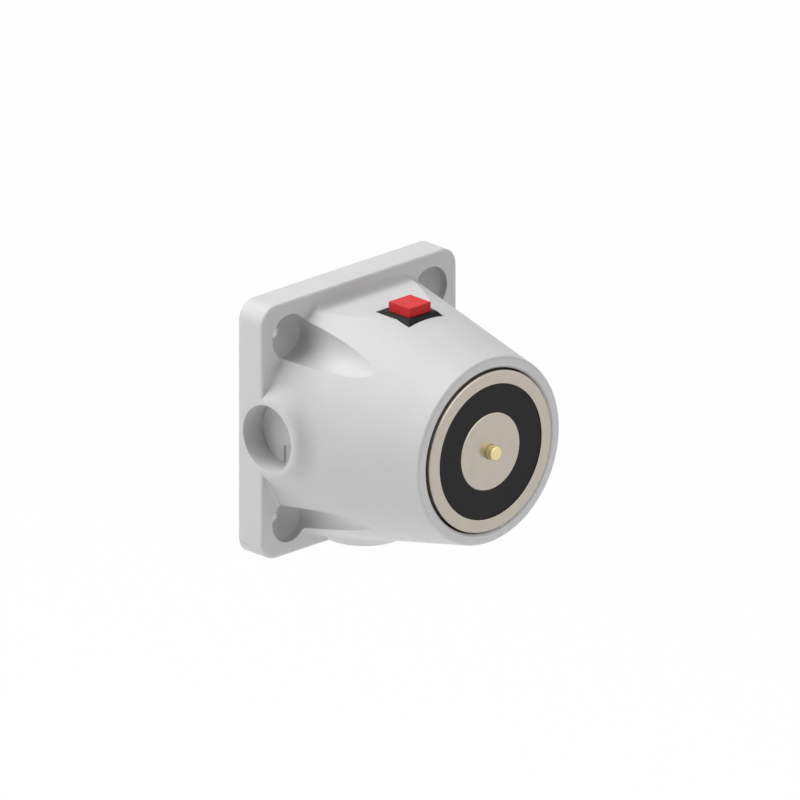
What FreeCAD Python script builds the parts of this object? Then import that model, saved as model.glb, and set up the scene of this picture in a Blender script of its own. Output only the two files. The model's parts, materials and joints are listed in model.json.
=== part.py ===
import FreeCAD, Part
import math
import os

import Sketcher

# A wall-mounted door holding magnet: a moulded housing with a square flange, a round
# holding magnet at its front, a sprung ejector pin in the magnet's core and a red
# release button on top.
#
# Every piece is drawn in a bench frame: the housing lies on its back, x to the right,
# y towards the top of the housing and z away from the wall. BENCH_TO_WALL stands each
# finished piece up, so that the wall is the plane y = 0, +z is up and the magnet faces -y.

Vector = FreeCAD.Vector
Rotation = FreeCAD.Rotation
RINGS_PER_TURN = 12
WIRE_SIDES = 8
BEND_SHARE = 0.45
BENCH_TO_WALL = FreeCAD.Placement(Vector(0, 0, 0), Rotation(Vector(1, 0, 0), 90))
ALONG = {
    "x": Rotation(Vector(0, 1, 0), 90),
    "y": Rotation(Vector(1, 0, 0), -90),
    "z": Rotation(),
}

doc = FreeCAD.newDocument("door_magnet")
sheet = doc.addObject("Spreadsheet::Sheet", "sizes")

SIZES = [
    # housing
    ("flange_width", 80.0),
    ("flange_depth", 10.0),
    ("flange_corner", 5.8),
    ("flange_edge", 1.0),
    ("wall", 3.0),
    ("rim_front", 65.4),
    ("rim_radius", 29.0),
    ("rim_round", 1.0),
    ("rim_lip", 0.6),
    ("foot_over", 0.04),
    ("cone_blend", 1.5),
    ("root_depth", 2.5),
    ("foot_depth", 2.0),
    ("foot_height", 8.0),
    ("foot_inset", 0.03),
    ("flat_drop", 5.1),
    ("flat_blend", 3.0),
    ("web_thick", 3.0),
    ("bore_gap", 0.6),
    ("bore_land", 8.0),
    ("rib_count", 8),
    ("rib_thick", 2.0),
    ("web_hole", 9.0),
    # corner screw pockets
    ("pocket_spread", 29.0),
    ("pocket_radius", 6.9),
    ("pocket_depth", 2.5),
    ("pocket_wall", 2.4),
    ("wall_screw_hole", 2.5),
    # cable entries
    ("entry_level", 12.0),
    ("entry_radius", 10.25),
    ("entry_wall", 2.15),
    ("entry_depth", 7.75),
    ("boss_flank", 45.0),
    ("boss_round", 3.0),
    ("boss_blend", 10.0),
    ("blend_reach", 5.0),
    ("blend_floor", 2.0),
    ("boss_root", 6.0),
    ("knockout_thick", 1.4),
    ("knockout_groove", 0.4),
    ("knockout_line", 0.5),
    ("knockout_ledge", 0.03),
    ("knockout_web", 2.2),
    ("knockout_step", 0.5),
    ("step_drop", 4.2),
    ("step_shift", 0.8),
    # magnet
    ("magnet_stand", 0.6),
    ("pot_radius", 25.0),
    ("pot_length", 24.0),
    ("pot_wall", 4.0),
    ("pot_base", 5.0),
    ("edge_break", 0.3),
    ("core_break", 0.2),
    ("core_radius", 12.0),
    ("spigot_radius", 8.0),
    ("potting_depth", 4.0),
    ("potting_drop", 0.25),
    ("bobbin_wall", 1.0),
    ("coil_play", 0.25),
    ("seat_clearance", 0.05),
    # ejector pin
    ("pin_radius", 2.25),
    ("pin_stand", 2.6),
    ("pin_play", 0.1),
    ("pin_guide", 6.0),
    ("collar_radius", 4.7),
    ("collar_height", 2.0),
    ("collar_play", 0.3),
    ("stem_radius", 1.8),
    ("stem_length", 6.0),
    ("pin_wire", 0.35),
    ("pin_coil", 3.4),
    ("pin_coil_turns", 6),
    ("plug_height", 3.0),
    # magnet screws
    ("fixing_spread", 17.0),
    ("fixing_radius", 2.0),
    ("fixing_grip", 4.0),
    ("fixing_head_radius", 3.8),
    ("fixing_head_height", 2.6),
    ("washer_radius", 4.6),
    ("washer_thick", 0.8),
    ("slot_width", 1.0),
    ("slot_depth", 1.2),
    ("slot_share", 0.45),
    # release button
    ("button_inset", 0.5),
    ("button_width", 8.8),
    ("button_stand", 2.85),
    ("button_play", 0.15),
    ("button_collar", 0.4),
    ("button_collar_height", 1.45),
    ("bezel_width", 14.2),
    ("bezel_top_width", 11.4),
    ("bezel_sink", 1.7),
    ("bezel_edge", 0.45),
    ("bezel_bevel", 1.65),
    ("bezel_play", 0.1),
    ("switch_width", 12.4),
    ("switch_depth", 14.2),
    ("switch_guide", 5.3),
    ("switch_chamber", 10.0),
    ("switch_base_thick", 1.2),
    ("lug_reach", 0.6),
    ("lug_width", 5.0),
    ("lug_height", 1.8),
    ("button_bore", 2.8),
    ("button_bore_depth", 4.5),
    ("button_wire", 0.3),
    ("button_coil", 2.1),
    ("button_coil_turns", 5),
    ("peg_radius", 1.5),
    ("peg_height", 2.0),
    ("blade_spread", 3.0),
    ("blade_width", 2.8),
    ("blade_thick", 0.8),
    ("blade_length", 5.0),
    # circuit board
    ("board_width", 36.0),
    ("board_height", 17.0),
    ("board_thick", 1.6),
    ("board_top", -7.0),
    ("post_height", 6.0),
    ("post_radius", 3.0),
    ("post_inset_x", 3.5),
    ("post_inset_y", 3.5),
    ("board_screw_radius", 1.2),
    ("board_screw_grip", 5.0),
    ("board_head_radius", 2.3),
    ("board_head_height", 1.6),
    # wiring terminal
    ("block_width", 11.2),
    ("block_height", 9.0),
    ("block_depth", 9.5),
    ("block_drop", 4.5),
    ("pole_spread", 2.54),
    ("pole_well", 1.75),
    ("pole_mouth", 3.2),
    ("pole_mouth_height", 4.2),
    ("pole_mouth_rise", 2.6),
    ("cage_wall", 0.5),
    ("clamp_screw_radius", 1.5),
    ("clamp_thread_radius", 0.9),
    ("clamp_head_height", 1.8),
    ("clamp_screw_slot", 0.6),
    ("clamp_screw_slot_depth", 0.8),
    # diode and wires
    ("diode_radius", 1.35),
    ("diode_length", 5.0),
    ("diode_span", 9.0),
    ("diode_x", 12.0),
    ("diode_drop", 3.6),
    ("diode_rise", 1.6),
    ("diode_leg", 0.35),
    ("wire_radius", 0.6),
    ("wire_play", 0.3),
    ("coil_lead_x", 4.0),
    ("coil_lead_y", -16.5),
    ("pad_drop", 1.8),
    ("lead_straight", 5.5),
    ("lead_bow_drop", 12.0),
    ("lead_bow", 2.6),
    ("lead_loop", 6.3),
    ("lead_loop_rise", 3.4),
    ("lead_end", 4.6),
    # how far a cutting tool runs past the face it cuts
    ("overshoot", 1.0),
]
for row, (alias, number) in enumerate(SIZES, start=1):
    sheet.set("A%d" % row, alias)
    sheet.set("B%d" % row, str(number))
    sheet.setAlias("B%d" % row, alias)
doc.recompute()


def sized(expression):
    """Turn bare size names into references to the sheet."""
    words = expression
    for alias in sorted((name for name, number in SIZES), key=len, reverse=True):
        words = words.replace("{" + alias + "}", "sizes." + alias)
    return words


def number_of(expression):
    """The value of an expression, in millimetres."""
    result = sheet.evalExpression(sized(expression).replace("sizes.", ""))
    return float(getattr(result, "Value", result))


# Levels and radii that several pieces share, as expressions of the sheet's sizes.
HALF_FLANGE = "({flange_width} / 2)"
CONE_SLOPE = "((" + HALF_FLANGE + " + {foot_over} - {rim_radius}) / ({rim_front} - {entry_level}))"
CONE_WALL = "({wall} * sqrt(1 + " + CONE_SLOPE + " ^ 2))"
FLAT = "(" + HALF_FLANGE + " - {flat_drop})"
MAGNET_FRONT = "({rim_front} + {magnet_stand})"
MAGNET_BACK = "(" + MAGNET_FRONT + " - {pot_length})"
POT_FLOOR = "(" + MAGNET_BACK + " + {pot_base})"
POT_INSIDE = "({pot_radius} - {pot_wall})"
POTTING_FRONT = "(" + MAGNET_FRONT + " - {potting_drop})"
POTTING_BACK = "(" + MAGNET_FRONT + " - {potting_depth})"
BORE = "({pot_radius} + {bore_gap})"
WEB_BACK = "(" + MAGNET_BACK + " - {web_thick})"
PIN_HOLE = "({pin_radius} + {pin_play})"
SPRING_BORE = "({collar_radius} + {collar_play})"
PIN_SHOULDER = "(" + MAGNET_FRONT + " - {pin_guide})"
PIN_TOP = "(" + MAGNET_FRONT + " + {pin_stand})"
PLUG_FRONT = "(" + MAGNET_BACK + " + {plug_height})"
ENTRY_OUTSIDE = "({entry_radius} + {entry_wall})"
ENTRY_FLOOR = "(" + HALF_FLANGE + " - {entry_depth})"
ENTRY_INSIDE = "(" + ENTRY_FLOOR + " - {knockout_thick})"
KNOCKOUT = "({entry_radius} - {knockout_ledge})"
BOARD_FRONT = "(" + WEB_BACK + " - {post_height})"
BOARD_BACK = "(" + BOARD_FRONT + " - {board_thick})"
BOARD_BOTTOM = "({board_top} - {board_height})"
POST_X = "({board_width} / 2 - {post_inset_x})"
POST_Y = "(" + BOARD_BOTTOM + " + {post_inset_y})"
BLOCK_TOP = "({board_top} - {block_drop})"
BLOCK_BOTTOM = "(" + BLOCK_TOP + " - {block_height})"
BLOCK_BACK = "(" + BOARD_BACK + " - {block_depth})"
BUTTON = "(" + WEB_BACK + " - {button_inset} - {bezel_width} / 2)"
BEZEL_SEAT = "(" + FLAT + " - {bezel_sink})"
BEZEL_SHOULDER = "(" + BEZEL_SEAT + " + {bezel_edge})"
BEZEL_TOP = "(" + BEZEL_SHOULDER + " + {bezel_bevel})"
GUIDE_FOOT = "(" + BEZEL_TOP + " - {switch_guide})"
SWITCH_BOTTOM = "(" + BEZEL_SEAT + " - {switch_depth})"
SWITCH_FLOOR = "(" + SWITCH_BOTTOM + " + {switch_base_thick})"
CAP_TOP = "(" + BEZEL_TOP + " + {button_stand})"
CAP_FOOT = "(" + GUIDE_FOOT + " - {seat_clearance} - {button_collar_height})"
BLADE_END = "(" + SWITCH_BOTTOM + " - {blade_length})"


def cone_radius(level):
    """Radius of the housing's outer cone at a level above the wall."""
    return "({rim_radius} + ({rim_front} - " + level + ") * " + CONE_SLOPE + ")"


def bind(thing, **expressions):
    """Bind properties of an object to expressions of the sheet."""
    for name, expression in expressions.items():
        thing.setExpression(name, sized(expression))
    return thing


def put(thing, x="0", y="0", z="0"):
    """Bind an object's place to expressions of the sheet."""
    for axis, expression in zip("xyz", (x, y, z)):
        thing.setExpression("Placement.Base." + axis, "(" + sized(expression) + ") * 1 mm")
    return thing


def box(name, x, y, z):
    """A block between pairs of expressions along each axis."""
    block = doc.addObject("Part::Box", name)
    bind(
        block,
        Length=x[1] + " - (" + x[0] + ")",
        Width=y[1] + " - (" + y[0] + ")",
        Height=z[1] + " - (" + z[0] + ")",
    )
    return put(block, x[0], y[0], z[0])


def rod(name, axis, radius, start, end, centre):
    """A cylinder along one axis; centre gives the other two coordinates in order."""
    cylinder = doc.addObject("Part::Cylinder", name)
    cylinder.Placement = FreeCAD.Placement(Vector(0, 0, 0), ALONG[axis])
    bind(cylinder, Radius=radius, Height=end + " - (" + start + ")")
    place = list(centre)
    place.insert("xyz".index(axis), start)
    return put(cylinder, *place)


def fuse(name, *shapes):
    joined = doc.addObject("Part::MultiFuse", name)
    joined.Shapes = list(shapes)
    joined.Refine = True
    return joined


def cut(name, base, *tools):
    tool = tools[0]
    if len(tools) > 1:
        tool = fuse(name + "_tools", *tools)
    result = doc.addObject("Part::Cut", name)
    result.Base = base
    result.Tool = tool
    result.Refine = True
    return result


def common(name, base, tool):
    result = doc.addObject("Part::Common", name)
    result.Base = base
    result.Tool = tool
    return result


def holder(name, thing):
    """A compound that gives one object a place of its own."""
    compound = doc.addObject("Part::Compound", name)
    compound.Links = [thing]
    return compound


def whole(name, thing):
    """A piece made of one object, free to take the wall's placement."""
    piece = doc.addObject("Part::Refine", name)
    piece.Source = thing
    return piece


def outline(body, name, plane, points):
    """A closed sketch through points given as pairs of expressions."""
    sketch = body.newObject("Sketcher::SketchObject", name)
    for feature in body.Origin.OriginFeatures:
        if feature.Role == plane:
            sketch.AttachmentSupport = (feature, "")
    sketch.MapMode = "FlatFace"
    corners = [Vector(number_of(x), number_of(y), 0) for x, y in points]
    count = len(corners)
    for index in range(count):
        sketch.addGeometry(Part.LineSegment(corners[index], corners[(index + 1) % count]), False)
    for index in range(count):
        following = (index + 1) % count
        sketch.addConstraint(Sketcher.Constraint("Coincident", index, 2, following, 1))
    for index, (x, y) in enumerate(points):
        for kind, line, expression in (("DistanceX", -2, x), ("DistanceY", -1, y)):
            if expression == "0":
                sketch.addConstraint(Sketcher.Constraint("PointOnObject", index, 1, line))
                continue
            label = "%s%d" % ("across" if kind == "DistanceX" else "along", index)
            number = sketch.addConstraint(
                Sketcher.Constraint(kind, -1, 1, index, 1, number_of(expression))
            )
            sketch.renameConstraint(number, label)
            sketch.setExpression("Constraints." + label, "(" + sized(expression) + ") * 1 mm")
    return sketch


def turned(name, points):
    """A body turned about the z axis; points are (radius, level) pairs."""
    body = doc.addObject("PartDesign::Body", name)
    sketch = outline(body, name + "_profile", "XZ_Plane", points)
    revolution = body.newObject("PartDesign::Revolution", name + "_turning")
    revolution.Profile = sketch
    revolution.ReferenceAxis = (sketch, ["V_Axis"])
    revolution.Angle = 360
    body.Tip = revolution
    return body


def circle_at(shape, radius, level):
    """Name of the circular edge about the z axis with a given radius and level."""
    for index, edge in enumerate(shape.Edges, start=1):
        curve = edge.Curve
        if not isinstance(curve, Part.Circle):
            continue
        if abs(curve.Radius - radius) < 1e-4 and abs(curve.Center.z - level) < 1e-4:
            return "Edge%d" % index
    raise ValueError("no circle of radius %.3f at %.3f" % (radius, level))


def round_circles(body, name, size, circles):
    """Fillet circular edges of a turned body, each given as (radius, level)."""
    doc.recompute()
    base = body.Tip
    edges = [circle_at(base.Shape, number_of(r), number_of(z)) for r, z in circles]
    fillet = body.newObject("PartDesign::Fillet", name)
    fillet.Base = (base, edges)
    bind(fillet, Radius=size)
    body.Tip = fillet
    return body


def four_corners(name, make):
    """Four copies of a tool, one in each corner of the flange."""
    tools = []
    for across, sign_x in (("left", "-"), ("right", "")):
        for height, sign_y in (("lower", "-"), ("upper", "")):
            centre = (sign_x + "{pocket_spread}", sign_y + "{pocket_spread}")
            tools.append(make("%s_%s_%s" % (name, height, across), centre))
    return tools


def screw_pocket(name, centre):
    """The space over one wall screw: scoop, countersink and hole."""
    countersink = "({pocket_radius} - {wall_screw_hole})"
    seat = "({flange_depth} - {pocket_depth})"
    hole_front = "(" + seat + " - " + countersink + ")"
    space = turned(
        name,
        [
            ("0", "-{overshoot}"),
            ("{wall_screw_hole}", "-{overshoot}"),
            ("{wall_screw_hole}", hole_front),
            ("{pocket_radius}", seat),
            ("{pocket_radius}", "{rim_front}"),
            ("0", "{rim_front}"),
        ],
    )
    return put(space, centre[0], centre[1])


ENTRIES = (("left", "x", -1), ("right", "x", 1), ("bottom", "y", -1))


def entry_rod(name, side, axis, sign, radius, inner, outer):
    """A cylinder on a cable entry's axis between two distances from the centre."""
    start, end = (inner, outer) if sign > 0 else ("-" + outer, "-" + inner)
    centre = ("0", "{entry_level}")
    return rod("%s_%s" % (name, side), axis, radius, start, end, centre)


def lay_on_entry(tool, axis, sign, start="0"):
    """Lay a tool that was drawn along z on an entry's axis, from a distance outwards."""
    direction = {"x": Vector(sign, 0, 0), "y": Vector(0, sign, 0)}[axis]
    tool.Placement = FreeCAD.Placement(Vector(0, 0, 0), Rotation(Vector(0, 0, 1), direction))
    signed = start if sign > 0 else "-" + start
    if axis == "x":
        return put(tool, x=signed, z="{entry_level}")
    return put(tool, y=signed, z="{entry_level}")


def entry_boss(side, axis, sign):
    """The boss round a cable entry, with a sloping flank and a rounded end."""
    reach = "(" + HALF_FLANGE + " - " + ENTRY_INSIDE + ")"
    root = "(" + ENTRY_OUTSIDE + " + {boss_root})"
    shoulder = "(" + reach + " - {boss_root} * tan({boss_flank} * 1 deg))"
    boss = turned(
        "boss_" + side,
        [("0", "0"), (root, "0"), (root, shoulder), (ENTRY_OUTSIDE, reach), ("0", reach)],
    )
    round_circles(boss, "boss_rounding_" + side, "{boss_round}", [(ENTRY_OUTSIDE, reach)])
    return lay_on_entry(boss, axis, sign, ENTRY_INSIDE)


def knockout_corner(side, axis, sign):
    """The shallow sunk corner in the floor of a cable entry, away from the wall."""
    top = "(" + ENTRY_FLOOR + " + {overshoot})"
    bottom = "(" + ENTRY_FLOOR + " - {knockout_step})"
    bottom_radius = "(" + KNOCKOUT + " - {knockout_step})"
    dish = turned(
        "knockout_dish_" + side,
        [("0", bottom), (bottom_radius, bottom), (KNOCKOUT, ENTRY_FLOOR), (KNOCKOUT, top), ("0", top)],
    )
    depth = (bottom, top) if sign > 0 else ("-" + top, "-" + bottom)
    below = ("-{flange_width}", "-{step_drop}")
    level = ("({entry_level} - {step_shift})", "{flange_width}")
    spans = [depth, below] if axis == "x" else [below, depth]
    corner = box("corner_block_" + side, spans[0], spans[1], level)
    return common("knockout_corner_" + side, lay_on_entry(dish, axis, sign), corner)


def knockout_groove(side, axis, sign):
    """The V groove round the knock-out in an entry's floor, broken by one web."""
    top = "(" + ENTRY_FLOOR + " + {overshoot})"
    bottom = "(" + ENTRY_FLOOR + " - {knockout_groove})"
    inner = "(" + KNOCKOUT + " - {knockout_line})"
    middle = "(" + KNOCKOUT + " - {knockout_line} / 2)"
    ring = turned(
        "knockout_ring_" + side,
        [(middle, bottom), (KNOCKOUT, ENTRY_FLOOR), (KNOCKOUT, top), (inner, top), (inner, ENTRY_FLOOR)],
    )
    depth = (bottom, top) if sign > 0 else ("-" + top, "-" + bottom)
    web_side = ("-{knockout_web} / 2", "{knockout_web} / 2")
    web_level = ("({entry_level} - 2 * {entry_radius})", "{entry_level}")
    spans = [depth, web_side] if axis == "x" else [web_side, depth]
    web = box("knockout_web_" + side, spans[0], spans[1], web_level)
    return cut("knockout_groove_" + side, lay_on_entry(ring, axis, sign), web)


def make_flange():
    """The square flange with rounded corners and a softened front edge."""
    body = doc.addObject("PartDesign::Body", "flange")
    half = HALF_FLANGE
    corners = [("-" + half, "-" + half), (half, "-" + half), (half, half), ("-" + half, half)]
    sketch = outline(body, "flange_outline", "XY_Plane", corners)
    pad = body.newObject("PartDesign::Pad", "flange_pad")
    pad.Profile = sketch
    bind(pad, Length="{flange_depth}")
    body.Tip = pad
    doc.recompute()
    upright = []
    for index, edge in enumerate(pad.Shape.Edges, start=1):
        ends = [vertex.Point for vertex in edge.Vertexes]
        if abs(ends[0].z - ends[1].z) > 1e-6:
            upright.append("Edge%d" % index)
    corner = body.newObject("PartDesign::Fillet", "flange_corners")
    corner.Base = (pad, upright)
    bind(corner, Radius="{flange_corner}")
    body.Tip = corner
    doc.recompute()
    top = number_of("{flange_depth}")
    front = []
    for index, edge in enumerate(corner.Shape.Edges, start=1):
        if all(abs(vertex.Point.z - top) < 1e-6 for vertex in edge.Vertexes):
            front.append("Edge%d" % index)
    soften = body.newObject("PartDesign::Fillet", "flange_front")
    soften.Base = (corner, front)
    bind(soften, Radius="{flange_edge}")
    body.Tip = soften
    return body


def make_cone_foot():
    """The blend between the cone and the flange, a ring that runs into the cone."""
    base = "(" + cone_radius("{flange_depth}") + " - {foot_inset})"
    disc = "(" + base + " + {cone_blend})"
    level = "({flange_depth} + {foot_height})"
    root = "({flange_depth} - {foot_depth})"
    body = turned(
        "cone_foot",
        [
            ("0", root),
            (disc, root),
            (disc, "{flange_depth}"),
            (base, "{flange_depth}"),
            ("(" + cone_radius(level) + " - {foot_inset})", level),
            ("0", level),
        ],
    )
    round_circles(body, "cone_foot_blend", "{cone_blend}", [(base, "{flange_depth}")])
    side = "(" + HALF_FLANGE + " - {flange_edge} / 2)"
    inside = box("foot_trim", ("-" + side, side), ("-" + side, side), (root, level))
    return common("cone_foot_trimmed", body, inside)


def make_cone_and_bosses():
    """The cone with the entry bosses, blended where the bosses run into it."""
    far = "-{flange_width}"
    cone = turned(
        "long_cone",
        [("0", far), (cone_radius(far), far), ("{rim_radius}", "{rim_front}"), ("0", "{rim_front}")],
    )
    round_circles(cone, "cone_rim", "{rim_round}", [("{rim_radius}", "{rim_front}")])
    trim = box(
        "cone_trim",
        ("-" + HALF_FLANGE, HALF_FLANGE),
        ("-" + HALF_FLANGE, "{flange_width}"),
        ("({entry_level} - {blend_reach})", "{rim_front} + {overshoot}"),
    )
    bosses = [entry_boss(side, axis, sign) for side, axis, sign in ENTRIES]
    joined = fuse("cone_and_bosses", common("trimmed_cone", cone, trim), *bosses)
    doc.recompute()
    lowest = number_of("({entry_level} - {blend_floor})")
    crossings = []
    for index, edge in enumerate(joined.Shape.Edges, start=1):
        if isinstance(edge.Curve, Part.BSplineCurve) and edge.BoundBox.ZMax > lowest:
            crossings.append(index)
    blend = number_of("{boss_blend}")
    blended = doc.addObject("Part::Fillet", "boss_blends")
    blended.Base = joined
    blended.Edges = [(index, blend, blend) for index in crossings]
    ahead = box(
        "ahead_of_flange",
        ("-{flange_width}", "{flange_width}"),
        ("-{flange_width}", "{flange_width}"),
        ("({flange_depth} - {root_depth})", "{rim_front} + {overshoot}"),
    )
    return common("cone_ahead", blended, ahead)


def flat_cutter():
    """The block that cuts the flat, rounded where the flat meets the flange."""
    above = box(
        "above_flat",
        ("-{flange_width}", "{flange_width}"),
        (FLAT, "{flange_width}"),
        ("{flange_depth}", "{rim_front} + {overshoot}"),
    )
    doc.recompute()
    corner = (number_of(FLAT), number_of("{flange_depth}"))
    blend = number_of("{flat_blend}")
    rounded = doc.addObject("Part::Fillet", "flat_blend")
    rounded.Base = above
    edges = []
    for index, edge in enumerate(above.Shape.Edges, start=1):
        places = [(vertex.Point.y, vertex.Point.z) for vertex in edge.Vertexes]
        if all(math.dist(place, corner) < 1e-6 for place in places):
            edges.append((index, blend, blend))
    rounded.Edges = edges
    return rounded


def make_inner_cone():
    """The hollow behind the magnet: the cone's inside, up to the web."""
    return turned(
        "hollow_cone",
        [
            ("0", "0"),
            ("(" + cone_radius("0") + " - " + CONE_WALL + ")", "0"),
            ("(" + cone_radius(WEB_BACK) + " - " + CONE_WALL + ")", WEB_BACK),
            ("0", WEB_BACK),
        ],
    )


def make_magnet_bore():
    """The bore for the magnet, with the space behind its land cored out."""
    land = "({rim_front} - {bore_land})"
    bore = turned(
        "bore",
        [
            ("0", MAGNET_BACK),
            (BORE, MAGNET_BACK),
            (BORE, "({rim_front} - {rim_lip})"),
            ("(" + BORE + " + {rim_lip})", "{rim_front}"),
            ("(" + BORE + " + {rim_lip})", "{rim_front} + {overshoot}"),
            ("0", "{rim_front} + {overshoot}"),
        ],
    )
    core = turned(
        "bore_core",
        [
            ("0", MAGNET_BACK),
            ("(" + cone_radius(MAGNET_BACK) + " - " + CONE_WALL + ")", MAGNET_BACK),
            ("(" + cone_radius(land) + " - " + CONE_WALL + ")", land),
            ("0", land),
        ],
    )
    ribs = []
    count = int(number_of("{rib_count}"))
    for index in range(count):
        rib = box(
            "bore_rib_%d" % index,
            ("{pot_radius}", HALF_FLANGE),
            ("-{rib_thick} / 2", "{rib_thick} / 2"),
            (MAGNET_BACK + " - {overshoot}", "{rim_front}"),
        )
        turned_rib = holder("bore_rib_turn_%d" % index, rib)
        turn = Rotation(Vector(0, 0, 1), (index + 0.5) * 360.0 / count)
        turned_rib.Placement = FreeCAD.Placement(Vector(0, 0, 0), turn)
        ribs.append(turned_rib)
    cored = cut("bore_cored", core, *ribs)
    return fuse("bore_space", bore, cored)


def make_housing():
    flange = make_flange()
    round_body = fuse("round_body", make_cone_and_bosses(), make_cone_foot())
    top_trim = box(
        "top_trim",
        ("-{flange_width}", "{flange_width}"),
        ("(" + HALF_FLANGE + " - {flange_edge})", "{flange_width}"),
        ("0", "{rim_front} + {overshoot}"),
    )
    outside = fuse("outside", flange, cut("flattened", round_body, flat_cutter(), top_trim))

    # the space inside, with the walls of pockets and entries left standing in it
    shell_edge = "(" + HALF_FLANGE + " - {wall})"
    plate_space = box(
        "plate_space",
        ("-" + shell_edge, shell_edge),
        ("-" + shell_edge, shell_edge),
        ("0", "({flange_depth} - {wall})"),
    )
    above_ceiling = box(
        "above_ceiling",
        ("-{flange_width}", "{flange_width}"),
        ("(" + FLAT + " - {wall})", "{flange_width}"),
        ("({flange_depth} - {wall})", WEB_BACK),
    )
    round_space = cut("round_space", make_inner_cone(), above_ceiling)
    side_limit = box(
        "side_limit",
        ("-" + shell_edge, shell_edge),
        ("-" + shell_edge, shell_edge),
        ("0", WEB_BACK),
    )
    space = fuse("space", plate_space, common("round_space_in", round_space, side_limit))
    standing = four_corners(
        "pocket_wall",
        lambda name, centre: rod(name, "z", "({pocket_radius} + {pocket_wall})", "0", WEB_BACK, centre),
    )
    for side, axis, sign in ENTRIES:
        standing.append(
            entry_rod("entry_tube", side, axis, sign, ENTRY_OUTSIDE, ENTRY_INSIDE, HALF_FLANGE)
        )
    for side, sign in (("left", "-"), ("right", "")):
        standing.append(
            rod(
                "board_post_" + side, "z", "{post_radius}", BOARD_FRONT, WEB_BACK,
                (sign + POST_X, POST_Y),
            )
        )
    space_left = cut("space_left", space, *standing)

    # holes and recesses that are open to the outside
    openings = [space_left, make_magnet_bore()]
    openings += four_corners("pocket", screw_pocket)
    for side, axis, sign in ENTRIES:
        openings.append(
            entry_rod("entry", side, axis, sign, "{entry_radius}", ENTRY_FLOOR, "{flange_width}")
        )
        openings.append(knockout_corner(side, axis, sign))
        openings.append(knockout_groove(side, axis, sign))
    openings.append(rod("web_opening", "z", "{web_hole}", WEB_BACK + " - {overshoot}",
                        MAGNET_BACK + " + {overshoot}", ("0", "0")))
    for side, sign in (("left", "-"), ("right", "")):
        openings.append(
            rod(
                "fixing_hole_" + side, "z", "({fixing_radius} + {wire_play})", WEB_BACK + " - {overshoot}",
                MAGNET_BACK + " + {overshoot}", (sign + "{fixing_spread}", "0"),
            )
        )
        openings.append(
            rod(
                "lead_hole_" + side, "z", "({wire_radius} + {wire_play})", WEB_BACK + " - {overshoot}",
                MAGNET_BACK + " + {overshoot}", (sign + "{coil_lead_x}", "{coil_lead_y}"),
            )
        )
        openings.append(
            rod(
                "post_hole_" + side, "z", "({board_screw_radius} + {seat_clearance})",
                BOARD_FRONT + " - {overshoot}", BOARD_FRONT + " + {board_screw_grip}",
                (sign + POST_X, POST_Y),
            )
        )
    seat = "({bezel_width} / 2 + {bezel_play})"
    body = "({switch_width} / 2 + {bezel_play})"
    openings.append(
        box(
            "bezel_recess", ("-" + seat, seat), (BEZEL_SEAT, "{flange_width}"),
            (BUTTON + " - " + seat, BUTTON + " + " + seat),
        )
    )
    openings.append(
        box(
            "switch_hole", ("-" + body, body),
            ("(" + FLAT + " - {wall} - 2 * {overshoot})", "{flange_width}"),
            (BUTTON + " - " + body, BUTTON + " + " + body),
        )
    )
    return cut("housing", outside, *openings)


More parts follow.
